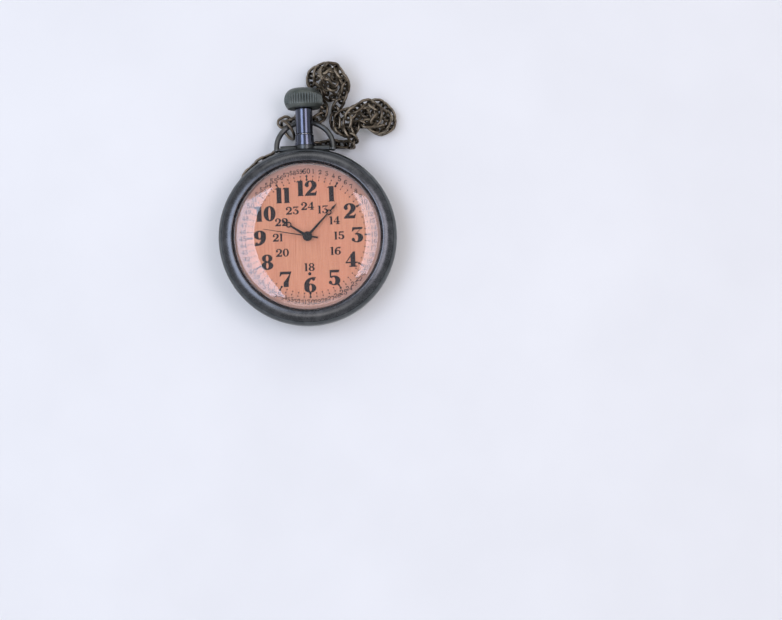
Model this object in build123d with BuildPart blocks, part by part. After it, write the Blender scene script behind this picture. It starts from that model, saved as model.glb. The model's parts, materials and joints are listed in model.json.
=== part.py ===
"""Pocket watch with an open face, a long pendant neck, a hinged bow and a cable chain.

Millimetres. The watch lies on its back: +Z points out of the dial, +Y to 12 o'clock and the crown.
The origin is the centre of the back cover's flat face.
"""

from build123d import *
import math
import numpy as np
import os

# ---------------------------------------------------------------- driving dimensions

# case
case_r = 24.0
middle_z0 = 4.4
middle_z1 = 10.2
middle_foot_r = 23.15
middle_shoulder_r = 23.35
band_z0 = 6.2
band_z1 = 8.4
bore_r = 20.6
ledge_r = 18.9
ledge_t = 0.5

back_flat_r = 13.5
back_rim_r = 22.9
back_wall = 0.8
back_lip_h = 0.4
back_flange_h = 1.2
fit = 0.05

# dial and glass
dial_z0 = 8.9
dial_t = 0.4
dial_r = 20.4
dial_hole_r = 1.0

bezel_r = 22.95
bezel_lip_r = 20.45
bezel_lip_z = 11.75
bezel_edge_z = 10.75
glass_r = 19.9
glass_seat_r = 20.1
glass_seat_z = 10.6
glass_open_r = 19.7
glass_t = 0.6
glass_inner_r = 19.5
glass_flat_r = 13.0
glass_flat_z = 13.8
glass_shoulder_r = 18.9
glass_shoulder_z = 12.85
glass_edge_z = 11.55
glass_top_z = 14.0

# stem, pendant and crown, all on one axis at this height
stem_z = 7.0
boss_r = 2.55
boss_y1 = 24.95
tube_r = 1.9
tube_bore_r = 0.85
tube_y0 = 20.65
tube_y1 = 34.2
collar_r = 2.53
collar_foot_r = 2.72
collar_foot_t = 0.55
collar_y1 = 27.8
sleeve_r = 2.325
sleeve_y0 = 27.98
sleeve_y1 = 34.9
crown_y0 = 34.97
crown_h = 5.65
crown_r = 5.2
crown_pull = 1.2
flutes = 44
flute_r = 0.36
flute_pitch_r = 5.22

# bow
bow_r = 7.65
bow_leg = 0.8
bow_wire_r = 0.72
bow_y = 23.9
bow_lean = 21.5
bow_swing = 12.0
saddle_half = 6.62
saddle_r = 1.05
pivot_pin_r = 0.5

# chain
link_length = 4.4
link_width = 3.4
link_wire = 0.76
link_pitch = 2.5
link_roll = 45.0
strand_gap = 3.22
sharpest_bend = 48.0
lowest_axis = 1.45
chain_room = 1.8
ring_r = 2.88
ring_wire = 0.8
end_ring_r = 1.5
end_ring_wire = 0.6
clasp_z0 = 0.1
clasp_t = 1.7
clasp_half = 1.6
clasp_mouth_half = 0.72

# movement
plate_r = 8.9
plate_half_y = 7.65
plate_z0 = 6.12
plate_web_z0 = 7.1
plate_web_z1 = 7.7
plate_z1 = 8.9
bridge_z0 = 5.75
wheel_t = 0.14
layer_a = 6.22
layer_b = 6.44
layer_c = 6.66
layer_d = 6.88
motion_z = 7.78
motion_t = 0.22
hour_wheel_z = 8.12
arbor_r = 0.12

# hands: how far each one has turned clockwise from 12
hour_angle = 303.2
minute_angle = 43.8
second_angle = 280.9
hour_hand_z = 9.72
minute_hand_z = 10.12
second_hand_z = 10.52
hand_t = 0.16

OUT = "parts"
os.makedirs(OUT, exist_ok=True)


def save(part, name):
    """Label a finished piece and write it."""
    part.label = name
    export_step(part, f"{OUT}/{name}.step")


def across_y(y):
    """The plane across the stem axis at y, its normal along +Y and its own X along +X."""
    return Plane(origin=(0, y, stem_z), x_dir=(1, 0, 0), z_dir=(0, 1, 0))


def tooth_outline(teeth, module, phase=0.0):
    """The corners of a spur wheel's outline, four to a tooth, with one tooth at the phase angle."""
    pitch_r = teeth * module / 2
    root_r = pitch_r - 1.15 * module
    tip_r = pitch_r + 0.85 * module
    step = 360 / teeth
    corners = []
    for tooth in range(teeth):
        middle = phase + tooth * step
        for share, radius in ((-0.3, root_r), (-0.13, tip_r), (0.13, tip_r), (0.3, root_r)):
            turn = math.radians(middle + share * step)
            corners.append((radius * math.cos(turn), radius * math.sin(turn)))
    return corners


# ---------------------------------------------------------------- case

# The case middle is a turned ring with a ledge for the dial, a pendant boss and the bow's saddle.
with BuildPart() as case_middle:
    with BuildSketch(Plane.XZ):
        with BuildLine():
            Polyline((bore_r, middle_z0), (middle_foot_r, middle_z0))
            TangentArc((case_r, band_z0), (middle_foot_r, middle_z0), tangent=(0, -1))
            Line((case_r, band_z0), (case_r, band_z1))
            TangentArc((case_r, band_z1), (middle_shoulder_r, middle_z1), tangent=(0, 1))
            Polyline(
                (middle_shoulder_r, middle_z1),
                (bore_r, middle_z1),
                (bore_r, dial_z0),
                (ledge_r, dial_z0),
                (ledge_r, dial_z0 - ledge_t),
                (bore_r, dial_z0 - ledge_t),
                (bore_r, middle_z0),
            )
        make_face()
    revolve(axis=Axis.Z)
    with BuildSketch(across_y(bore_r + 1.2)):
        Circle(boss_r)
    extrude(amount=boss_y1 - bore_r - 1.2)
    with BuildSketch(Plane(origin=(-saddle_half, bow_y, stem_z), x_dir=(0, 1, 0), z_dir=(1, 0, 0))):
        Circle(saddle_r)
    extrude(amount=2 * saddle_half)
    with BuildSketch(across_y(bore_r - 1.0)):
        Circle(tube_r + 0.02)
    extrude(amount=6.0, mode=Mode.SUBTRACT)
    with BuildSketch(Plane(origin=(-saddle_half, bow_y, stem_z), x_dir=(0, 1, 0), z_dir=(1, 0, 0))):
        Circle(pivot_pin_r + fit)
    extrude(amount=1.35, mode=Mode.SUBTRACT)
    with BuildSketch(Plane(origin=(saddle_half, bow_y, stem_z), x_dir=(0, 1, 0), z_dir=(-1, 0, 0))):
        Circle(pivot_pin_r + fit)
    extrude(amount=1.35, mode=Mode.SUBTRACT)
save(case_middle.part, "case_middle")

# The back cover is a shallow domed shell that snaps into the case middle's bore.
dome_rise = middle_z0 - back_lip_h
dome_R = ((back_rim_r - back_flat_r) ** 2 + dome_rise**2) / (2 * dome_rise)


def dome_z(r):
    """Height of the back cover's outer face at radius r."""
    reach = max(r - back_flat_r, 0.0)
    return dome_R - math.sqrt(dome_R**2 - reach**2)


flange_r1 = bore_r - fit
flange_r0 = flange_r1 - back_wall
with BuildPart() as back_cover:
    with BuildSketch(Plane.XZ):
        with BuildLine():
            Line((0, 0), (back_flat_r, 0))
            ThreePointArc(
                (back_flat_r, 0),
                ((back_flat_r + back_rim_r) / 2, dome_z((back_flat_r + back_rim_r) / 2)),
                (back_rim_r, dome_rise),
            )
            Polyline(
                (back_rim_r, dome_rise),
                (back_rim_r, middle_z0),
                (flange_r1, middle_z0),
                (flange_r1, middle_z0 + back_flange_h),
                (flange_r0, middle_z0 + back_flange_h),
                (flange_r0, dome_z(flange_r0) + back_wall),
            )
            ThreePointArc(
                (flange_r0, dome_z(flange_r0) + back_wall),
                (17.0, dome_z(17.0) + back_wall),
                (back_flat_r, back_wall),
            )
            Polyline((back_flat_r, back_wall), (0, back_wall), (0, 0))
        make_face()
    revolve(axis=Axis.Z)
save(back_cover.part, "back_cover")

with BuildPart() as back_gasket:
    with BuildSketch(Plane.XZ):
        with Locations((flange_r0 - 0.3, middle_z0 + 0.9)):
            Circle(0.28)
    revolve(axis=Axis.Z)
save(back_gasket.part, "back_gasket")

# The bezel slopes down and outwards from a raised lip round the glass.
with BuildPart() as bezel:
    with BuildSketch(Plane.XZ):
        with BuildLine():
            Polyline(
                (glass_open_r, dial_z0 + dial_t),
                (bore_r - fit, dial_z0 + dial_t),
                (bore_r - fit, middle_z1),
                (bezel_r, middle_z1),
                (bezel_r, bezel_edge_z - 0.15),
                (bezel_r - 0.2, bezel_edge_z + 0.05),
            )
            ThreePointArc(
                (bezel_r - 0.2, bezel_edge_z + 0.05),
                (21.7, 11.46),
                (bezel_lip_r + 0.1, bezel_lip_z),
            )
            Polyline(
                (bezel_lip_r + 0.1, bezel_lip_z),
                (bezel_lip_r - 0.15, bezel_lip_z - 0.05),
                (glass_seat_r, glass_seat_z + 0.5),
                (glass_seat_r, glass_seat_z),
                (glass_open_r, glass_seat_z),
                (glass_open_r, dial_z0 + dial_t),
            )
        make_face()
    revolve(axis=Axis.Z)
save(bezel.part, "bezel")

# The glass is almost flat in the middle, curves more towards its edge and ends in a round shoulder.
with BuildPart() as crystal:
    with BuildSketch(Plane.XZ):
        with BuildLine():
            flat = TangentArc((0, glass_top_z), (glass_flat_r, glass_flat_z), tangent=(1, 0))
            slope = TangentArc(flat @ 1, (glass_shoulder_r, glass_shoulder_z), tangent=flat % 1)
            TangentArc(slope @ 1, (glass_r, glass_edge_z), tangent=slope % 1)
            Polyline(
                (glass_r, glass_edge_z),
                (glass_r, glass_seat_z),
                (glass_inner_r, glass_seat_z),
                (glass_inner_r, glass_edge_z - 0.1),
            )
            flat_under = TangentArc(
                (0, glass_top_z - glass_t),
                (glass_flat_r, glass_flat_z - glass_t),
                tangent=(1, 0),
            )
            slope_under = TangentArc(
                flat_under @ 1,
                (glass_shoulder_r - 0.15, glass_shoulder_z - glass_t),
                tangent=flat_under % 1,
            )
            TangentArc(slope_under @ 1, (glass_inner_r, glass_edge_z - 0.1), tangent=slope_under % 1)
            Line((0, glass_top_z - glass_t), (0, glass_top_z))
        make_face()
    revolve(axis=Axis.Z)
save(crystal.part, "crystal")

with BuildPart() as crystal_gasket:
    with BuildSketch(Plane.XZ):
        with BuildLine():
            Polyline(
                (glass_r + 0.02, glass_seat_z),
                (glass_seat_r - 0.02, glass_seat_z),
                (glass_seat_r - 0.02, glass_seat_z + 0.5),
                (glass_r + 0.02, glass_seat_z + 0.5),
                close=True,
            )
        make_face()
    revolve(axis=Axis.Z)
save(crystal_gasket.part, "crystal_gasket")

# ---------------------------------------------------------------- dial and hands

with BuildPart() as dial:
    with BuildSketch(Plane.XY.offset(dial_z0)):
        Circle(dial_r)
        Circle(dial_hole_r, mode=Mode.SUBTRACT)
    extrude(amount=dial_t)
save(dial.part, "dial")

with BuildPart() as dial_feet:
    with BuildSketch(Plane.XY.offset(dial_z0)):
        with PolarLocations(8.2, 2, start_angle=20):
            Circle(0.35)
    extrude(amount=-1.3)
save(dial_feet.part, "dial_feet")


def hand_sketch(length, ring_at, ring_r1, ring_r0, root_half, neck_half, hub_r, hole_r):
    """A hand along +Y: hub, tapering arm, open ring, and a spade tip."""
    Circle(hub_r)
    Polygon(
        (-root_half, 0),
        (root_half, 0),
        (neck_half, ring_at),
        (-neck_half, ring_at),
        align=None,
    )
    with Locations((0, ring_at)):
        Circle(ring_r1)
    Polygon(
        (-1.3 * neck_half, ring_at),
        (1.3 * neck_half, ring_at),
        (neck_half, ring_at + 1.5 * ring_r1),
        (2.1 * neck_half, ring_at + 2.1 * ring_r1),
        (0, length),
        (-2.1 * neck_half, ring_at + 2.1 * ring_r1),
        (-neck_half, ring_at + 1.5 * ring_r1),
        align=None,
    )
    with Locations((0, ring_at)):
        Circle(ring_r0, mode=Mode.SUBTRACT)
    Circle(hole_r, mode=Mode.SUBTRACT)


cannon_r = 0.5
hour_tube_r = 0.85
with BuildPart() as hour_hand:
    with BuildSketch(Plane.XY.rotated((0, 0, -hour_angle)).offset(hour_hand_z)):
        hand_sketch(8.1, 5.95, 0.78, 0.47, 0.42, 0.2, 1.3, hour_tube_r - 0.1)
    extrude(amount=hand_t)
save(hour_hand.part, "hour_hand")

with BuildPart() as minute_hand:
    with BuildSketch(Plane.XY.rotated((0, 0, -minute_angle)).offset(minute_hand_z)):
        hand_sketch(11.8, 8.6, 0.74, 0.44, 0.36, 0.16, 1.05, cannon_r - 0.1)
    extrude(amount=hand_t)
save(minute_hand.part, "minute_hand")

# The second hand has a long needle, a broad tail and a domed boss that covers the other hubs.
with BuildPart() as second_hand:
    with BuildSketch(Plane.XY.rotated((0, 0, -second_angle)).offset(second_hand_z)):
        Circle(0.7)
        with BuildLine():
            Polyline((-0.15, 0), (-0.06, 12.0), (0.06, 12.0), (0.15, 0), close=True)
        make_face()
        with BuildLine():
            Polyline((-0.15, 0), (-0.24, -2.85), (0.24, -2.85), (0.15, 0), close=True)
        make_face()
        Circle(0.15, mode=Mode.SUBTRACT)
    extrude(amount=0.12)
save(second_hand.part, "second_hand")

with BuildPart() as second_hand_boss:
    with BuildSketch(Plane.XZ):
        with BuildLine():
            Line((0.0, second_hand_z + 0.7), (0.0, second_hand_z + 0.45))
            Polyline(
                (0.0, second_hand_z + 0.45),
                (0.17, second_hand_z + 0.45),
                (0.17, second_hand_z + 0.12),
                (1.13, second_hand_z + 0.12),
                (1.13, second_hand_z + 0.35),
            )
            TangentArc((0.0, second_hand_z + 0.7), (1.13, second_hand_z + 0.35), tangent=(1, 0))
        make_face()
    revolve(axis=Axis.Z)
save(second_hand_boss.part, "second_hand_boss")

# ---------------------------------------------------------------- pendant, stem and crown

# The pendant tube is pressed into the boss. A short collar and a long sleeve cover it.
with BuildPart() as pendant_tube:
    with BuildSketch(across_y(tube_y0)):
        Circle(tube_r)
        Circle(tube_bore_r, mode=Mode.SUBTRACT)
    extrude(amount=tube_y1 - tube_y0)
save(pendant_tube.part, "pendant_tube")

sleeve_bore_r = tube_r + 0.03
with BuildPart() as pendant_collar:
    with BuildSketch(across_y(boss_y1)):
        Circle(collar_foot_r)
    extrude(amount=collar_foot_t)
    with BuildSketch(across_y(boss_y1)):
        Circle(collar_r)
    extrude(amount=collar_y1 - boss_y1)
    chamfer(pendant_collar.edges().filter_by(GeomType.CIRCLE).sort_by(Axis.Y)[-1:], 0.2)
    with BuildSketch(across_y(boss_y1)):
        Circle(sleeve_bore_r)
    extrude(amount=collar_y1 - boss_y1, mode=Mode.SUBTRACT)
save(pendant_collar.part, "pendant_collar")

with BuildPart() as pendant_sleeve:
    with BuildSketch(across_y(sleeve_y0)):
        Circle(sleeve_r)
    extrude(amount=sleeve_y1 - sleeve_y0)
    chamfer(pendant_sleeve.edges().filter_by(GeomType.CIRCLE), 0.14)
    with BuildSketch(across_y(sleeve_y0)):
        Circle(sleeve_bore_r)
    extrude(amount=sleeve_y1 - sleeve_y0, mode=Mode.SUBTRACT)
save(pendant_sleeve.part, "pendant_sleeve")

# The crown is an onion whose flutes fade out where it is narrower than their roots.
crown_y1 = crown_y0 + crown_h
with BuildPart() as crown:
    with BuildSketch(Plane(origin=(0, 0, stem_z), x_dir=(1, 0, 0), z_dir=(0, 0, 1))):
        with BuildLine():
            Line((0, crown_y0), (4.3, crown_y0))
            ThreePointArc((4.3, crown_y0), (crown_r, crown_y0 + 2.2), (4.6, crown_y0 + 4.3))
            ThreePointArc((4.6, crown_y0 + 4.3), (3.8, crown_y0 + 5.1), (2.6, crown_y0 + 5.45))
            TangentArc((0, crown_y1), (2.6, crown_y0 + 5.45), tangent=(1, 0))
            Line((0, crown_y1), (0, crown_y0))
        make_face()
    revolve(axis=Axis((0, 0, stem_z), (0, 1, 0)))
    with BuildSketch(across_y(crown_y0)):
        Circle(crown_r + 0.2)
        with PolarLocations(flute_pitch_r, flutes):
            Circle(flute_r, mode=Mode.SUBTRACT)
    extrude(amount=crown_h, mode=Mode.INTERSECT)
    with BuildSketch(across_y(crown_y0)):
        Circle(0.62)
    extrude(amount=3.6, mode=Mode.SUBTRACT)
save(crown.part, "crown")

with BuildPart() as crown_washer:
    with BuildSketch(across_y(tube_y1 + 0.1)):
        Circle(1.7)
        Circle(0.62, mode=Mode.SUBTRACT)
    extrude(amount=crown_y0 - tube_y1 - 0.12)
save(crown_washer.part, "crown_washer")

stem_tip_y = 2.7
stem_joint_y = 8.9
square_half = 0.34
groove_y = 5.75
with BuildPart() as stem:
    with BuildSketch(across_y(stem_tip_y)):
        Circle(0.25)
    extrude(amount=0.4)
    with BuildSketch(across_y(stem_tip_y + 0.4)):
        Rectangle(2 * square_half, 2 * square_half)
    extrude(amount=2.2)
    with BuildSketch(across_y(stem_tip_y + 2.6)):
        Circle(0.55)
    extrude(amount=stem_joint_y - stem_tip_y - 2.6)
    with BuildSketch(across_y(groove_y)):
        Circle(0.6)
        Circle(0.32, mode=Mode.SUBTRACT)
    extrude(amount=0.5, mode=Mode.SUBTRACT)
save(stem.part, "stem")

with BuildPart() as stem_extension:
    with BuildSketch(across_y(stem_joint_y)):
        Circle(0.8)
    extrude(amount=1.6)
    with BuildSketch(across_y(stem_joint_y + 1.6)):
        Circle(0.6)
    extrude(amount=crown_y0 + 3.5 - stem_joint_y - 1.6)
save(stem_extension.part, "stem_extension")

# ---------------------------------------------------------------- bow

# The bow is a half ring on short legs that leans back under the neck, with a pin turned in at each end.
bow_plane = Plane(
    origin=(0, bow_y, stem_z),
    x_dir=(1, 0, 0),
    z_dir=(0, math.sin(math.radians(bow_lean)), math.cos(math.radians(bow_lean))),
)
with BuildPart() as bow:
    with BuildLine(bow_plane) as bow_line:
        Line((-bow_r, 0), (-bow_r, bow_leg))
        ThreePointArc((-bow_r, bow_leg), (0, bow_leg + bow_r), (bow_r, bow_leg))
        Line((bow_r, bow_leg), (bow_r, 0))
    with BuildSketch(Plane(origin=bow_line.line @ 0, z_dir=bow_line.line % 0)):
        Circle(bow_wire_r)
    sweep()
    for side in (-1, 1):
        with BuildSketch(Plane(origin=(side * bow_r, bow_y, stem_z), x_dir=(0, 1, 0), z_dir=(-side, 0, 0))):
            Circle(pivot_pin_r)
        extrude(amount=1.95)
        with Locations((side * bow_r, bow_y, stem_z)):
            Sphere(bow_wire_r)
save(bow.part, "bow")

# ---------------------------------------------------------------- movement holder and plates

holder_r = 18.8
holder_z0 = 4.7
rib_r1 = 12.9
rib_r0 = 11.9
rib_z0 = 0.82
channel_half = 1.0


def movement_outline(shrink=0.0):
    """The movement's outline: a circle trimmed flat towards the crown and away from it."""
    Circle(plate_r - shrink)
    Rectangle(2 * plate_r, 2 * (plate_half_y - shrink), mode=Mode.INTERSECT)


with BuildPart() as movement_holder:
    with BuildSketch(Plane.XY.offset(holder_z0)):
        Circle(holder_r)
        Circle(10.4, mode=Mode.SUBTRACT)
    extrude(amount=plate_z1 - holder_z0)
    with BuildSketch(Plane.XY.offset(bridge_z0 + 0.4)):
        Circle(10.6)
        Circle(plate_r + 0.06, mode=Mode.SUBTRACT)
        with Locations((0, plate_half_y + 1.5), (0, -plate_half_y - 1.5)):
            Rectangle(8.0, 2.8)
    extrude(amount=plate_z1 - bridge_z0 - 0.4)
    with BuildSketch(Plane.XY.offset(rib_z0)):
        Circle(rib_r1)
        Circle(rib_r0, mode=Mode.SUBTRACT)
    extrude(amount=holder_z0 - rib_z0)
    with BuildSketch(Plane.XY.offset(holder_z0)):
        Circle(holder_r - 1.2)
        Circle(rib_r1 + 0.6, mode=Mode.SUBTRACT)
    extrude(amount=2.6, mode=Mode.SUBTRACT)
    with BuildSketch(across_y(plate_half_y)):
        Rectangle(2 * channel_half, 2 * channel_half)
    extrude(amount=holder_r, mode=Mode.SUBTRACT)
    with BuildSketch(Plane.XY.offset(plate_z1)):
        with PolarLocations(15.5, 2, start_angle=20):
            Circle(0.9)
    extrude(amount=-1.0, mode=Mode.SUBTRACT)
save(movement_holder.part, "movement_holder")

third_x = -1.967
third_y = -2.344
inter_x = 2.556
inter_y = -1.790
rotor_x = 1.694
rotor_y = -4.158
minute_x = 2.364
minute_y = 0.417
setting_x = 0.026
setting_y = 1.767
battery_x = -4.45
battery_y = 3.75
battery_r = 2.9
coil_y = -6.35
coil_z = 6.9
coil_r = 0.72
coil_half = 3.6
core_half = 4.7
crystal_can_x = 6.9
lever_x = 2.75
lever_y = 5.6
lever_t = 0.25
arbor_hole_r = arbor_r + 0.03
arbor_z0 = bridge_z0 + 0.05
arbor_h = plate_web_z0 - bridge_z0 - 0.08
front_arbor_z0 = plate_web_z0 + 0.1
pocket_gap = 0.15
pocket_depth = 1.75
screw_places = [(-5.6, -2.0), (5.6, -2.0)]
screw_r = 0.42
screw_head_r = 0.75
screw_head_h = 0.3
screw_slot_w = 0.2
chip_x = 6.5
chip_y = 3.4
chip_w = 1.8

with BuildPart() as main_plate:
    with BuildSketch(Plane.XY.offset(plate_z0)):
        movement_outline()
    extrude(amount=plate_z1 - plate_z0)
    with BuildSketch(Plane.XY.offset(plate_web_z1)):
        Circle(6.9)
        with Locations((1.3, 7.2)):
            Rectangle(3.6, 1.2)
    extrude(amount=plate_z1 - plate_web_z1, mode=Mode.SUBTRACT)
    with BuildSketch(Plane.XY.offset(plate_z0)):
        Circle(3.05)
        with Locations((third_x, third_y)):
            Circle(3.0)
        with Locations((inter_x, inter_y)):
            Circle(2.5)
        with Locations((rotor_x, rotor_y)):
            Circle(1.3)
    extrude(amount=plate_web_z0 - plate_z0, mode=Mode.SUBTRACT)
    with BuildSketch(Plane.XY.offset(plate_z0)):
        with Locations((battery_x, battery_y)):
            Circle(battery_r + 0.1)
        with Locations((0, coil_y)):
            Rectangle(2 * (core_half + pocket_gap), 2 * (coil_r + pocket_gap))
        with Locations((crystal_can_x, 1.2)):
            Rectangle(2.0, 6.6)
    extrude(amount=pocket_depth, mode=Mode.SUBTRACT)
    with BuildSketch(Plane.XY.offset(plate_z0)):
        with Locations((0.15, 5.2)):
            Rectangle(2.4, 5.2)
    extrude(amount=plate_z1 - plate_z0, mode=Mode.SUBTRACT)
    with BuildSketch(Plane.XY.offset(plate_z0)):
        Circle(0.58)
        with Locations((minute_x, minute_y), (setting_x, setting_y), (lever_x, lever_y)):
            Circle(arbor_hole_r)
        with PolarLocations(8.2, 2, start_angle=20):
            Circle(0.4)
    extrude(amount=plate_z1 - plate_z0, mode=Mode.SUBTRACT)
    with BuildSketch(Plane.XY.offset(plate_z0)):
        with Locations((0, -4.85)):
            Rectangle(9.3, 3.7)
    extrude(amount=0.55, mode=Mode.SUBTRACT)
    with BuildSketch(across_y(4.8)):
        Rectangle(1.3, 1.3)
    extrude(amount=4.0, mode=Mode.SUBTRACT)
save(main_plate.part, "main_plate")

with BuildPart() as train_bridge:
    with BuildSketch(Plane.XY.offset(bridge_z0)):
        Circle(7.0)
        Rectangle(14.0, 7.4, align=(Align.CENTER, Align.MAX), mode=Mode.INTERSECT)
        Circle(2.3)
        with Locations((0, coil_y - 0.3)):
            Rectangle(16.0, 2.6, mode=Mode.SUBTRACT)
        with Locations((third_x, third_y), (inter_x, inter_y), (rotor_x, rotor_y), (0, 0)):
            Circle(arbor_hole_r, mode=Mode.SUBTRACT)
        with Locations(screw_places):
            Circle(screw_r + 0.03, mode=Mode.SUBTRACT)
    extrude(amount=plate_z0 - bridge_z0)
save(train_bridge.part, "train_bridge")

with BuildPart() as bridge_screws:
    with BuildSketch(Plane.XY.offset(bridge_z0)):
        with Locations(screw_places):
            Circle(screw_r)
    extrude(amount=plate_z0 - bridge_z0)
    with BuildSketch(Plane.XY.offset(bridge_z0)):
        with Locations(screw_places):
            Circle(screw_head_r)
    extrude(amount=-screw_head_h)
    with BuildSketch(Plane.XY.offset(bridge_z0 - screw_head_h)):
        with Locations(screw_places):
            Rectangle(2 * screw_head_r + 0.1, screw_slot_w)
    extrude(amount=screw_head_h / 2, mode=Mode.SUBTRACT)
save(bridge_screws.part, "bridge_screws")

# ---------------------------------------------------------------- electrical parts

with BuildPart() as battery:
    with BuildSketch(Plane.XY.offset(bridge_z0)):
        with Locations((battery_x, battery_y)):
            Circle(battery_r)
    extrude(amount=1.95)
    chamfer(battery.edges().filter_by(GeomType.CIRCLE), 0.15)
save(battery.part, "battery")

with BuildPart() as battery_clip:
    with BuildSketch(Plane.XY.offset(bridge_z0 - 0.2)):
        with Locations((battery_x, battery_y)):
            Circle(battery_r + 0.3)
            Rectangle(1.6, 9.0, rotation=50, mode=Mode.INTERSECT)
    extrude(amount=0.18)
save(battery_clip.part, "battery_clip")

with BuildPart() as circuit_board:
    with BuildSketch(Plane.XY.offset(bridge_z0)):
        movement_outline(0.15)
        with Locations((0, -1.4)):
            Rectangle(24.0, 14.0, mode=Mode.SUBTRACT)
        with Locations((battery_x, battery_y)):
            Circle(battery_r + 0.25, mode=Mode.SUBTRACT)
        with Locations((chip_x + 0.1, chip_y)):
            Rectangle(2.9, 5.2)
    extrude(amount=plate_z0 - bridge_z0 - 0.07)
save(circuit_board.part, "circuit_board")

with BuildPart() as integrated_circuit:
    with BuildSketch(Plane.XY.offset(bridge_z0)):
        with Locations((chip_x, chip_y)):
            Rectangle(chip_w, chip_w)
    extrude(amount=-0.4)
save(integrated_circuit.part, "integrated_circuit")

with BuildPart() as quartz_can:
    with BuildSketch(Plane(origin=(crystal_can_x, -1.9, 6.75), x_dir=(1, 0, 0), z_dir=(0, 1, 0))):
        Circle(0.6)
    extrude(amount=5.6)
    fillet(quartz_can.edges().filter_by(GeomType.CIRCLE).sort_by(Axis.Y)[0], 0.25)
save(quartz_can.part, "quartz_can")

with BuildPart() as coil:
    with BuildSketch(Plane(origin=(-coil_half, coil_y, coil_z), x_dir=(0, 1, 0), z_dir=(1, 0, 0))):
        Circle(coil_r)
        Circle(0.36, mode=Mode.SUBTRACT)
    extrude(amount=2 * coil_half)
save(coil.part, "coil")

with BuildPart() as coil_core:
    with BuildSketch(Plane(origin=(-core_half, coil_y, coil_z), x_dir=(0, 1, 0), z_dir=(1, 0, 0))):
        Rectangle(0.46, 0.46)
    extrude(amount=2 * core_half)
save(coil_core.part, "coil_core")

# The stator's two arms run from the coil core's ends to the hole round the rotor magnet.
stator_z = 6.38
stator_t = 0.22
with BuildPart() as stator:
    with BuildSketch(Plane.XY.offset(stator_z)):
        with Locations((rotor_x, rotor_y)):
            Circle(1.2)
        Polygon((-4.5, -6.5), (-3.9, -6.5), (-3.9, -5.55), (1.0, -4.9), (1.0, -4.2), (-4.5, -5.2), align=None)
        Polygon((4.5, -6.5), (3.9, -6.5), (3.9, -5.55), (2.4, -4.9), (2.4, -4.2), (4.5, -5.0), align=None)
        with Locations((rotor_x, rotor_y)):
            Circle(0.75, mode=Mode.SUBTRACT)
    extrude(amount=stator_t)
save(stator.part, "stator")

# ---------------------------------------------------------------- going train


def wheel_on(x, y):
    """The place of a wheel's axis."""
    return Locations((x, y))


def open_web(rim_r, hub_r, arm_w):
    """Open a wheel's web between its hub and its rim, with four arms left across it."""
    Circle(rim_r, mode=Mode.SUBTRACT)
    Circle(hub_r)
    Rectangle(2 * rim_r + 0.2, arm_w)
    Rectangle(arm_w, 2 * rim_r + 0.2)


with BuildPart() as rotor:
    with BuildSketch(Plane.XY.offset(6.4)):
        with wheel_on(rotor_x, rotor_y):
            Circle(0.6)
    extrude(amount=0.6)
    with BuildSketch(Plane.XY.offset(layer_a)):
        with wheel_on(rotor_x, rotor_y):
            Polygon(*tooth_outline(6, 0.12, 10.0), align=None)
    extrude(amount=0.18)
    with BuildSketch(Plane.XY.offset(arbor_z0)):
        with wheel_on(rotor_x, rotor_y):
            Circle(arbor_r)
    extrude(amount=arbor_h)
save(rotor.part, "rotor")

with BuildPart() as intermediate_wheel:
    with BuildSketch(Plane.XY.offset(layer_a)):
        with wheel_on(inter_x, inter_y):
            Polygon(*tooth_outline(36, 0.12), align=None)
            open_web(1.7, 0.6, 0.35)
    extrude(amount=wheel_t)
    with BuildSketch(Plane.XY.offset(layer_a)):
        with wheel_on(inter_x, inter_y):
            Polygon(*tooth_outline(8, 0.13), align=None)
    extrude(amount=0.4)
    with BuildSketch(Plane.XY.offset(arbor_z0)):
        with wheel_on(inter_x, inter_y):
            Circle(arbor_r)
    extrude(amount=arbor_h)
save(intermediate_wheel.part, "intermediate_wheel")

with BuildPart() as seconds_wheel:
    with BuildSketch(Plane.XY.offset(layer_b)):
        Polygon(*tooth_outline(40, 0.13, 4.5), align=None)
        open_web(2.2, 0.7, 0.4)
    extrude(amount=wheel_t)
    with BuildSketch(Plane.XY.offset(layer_b)):
        Polygon(*tooth_outline(8, 0.09), align=None)
    extrude(amount=layer_d - layer_b - 0.06)
    with BuildSketch(Plane.XY.offset(arbor_z0)):
        Circle(arbor_r)
    extrude(amount=second_hand_z + 0.42 - bridge_z0)
save(seconds_wheel.part, "seconds_wheel")

with BuildPart() as third_wheel:
    with BuildSketch(Plane.XY.offset(layer_c)):
        with wheel_on(third_x, third_y):
            Polygon(*tooth_outline(60, 0.09), align=None)
            open_web(2.2, 0.7, 0.4)
    extrude(amount=wheel_t)
    with BuildSketch(Plane.XY.offset(layer_c)):
        with wheel_on(third_x, third_y):
            Polygon(*tooth_outline(8, 0.085), align=None)
    extrude(amount=0.4)
    with BuildSketch(Plane.XY.offset(arbor_z0)):
        with wheel_on(third_x, third_y):
            Circle(arbor_r)
    extrude(amount=arbor_h)
save(third_wheel.part, "third_wheel")

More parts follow.
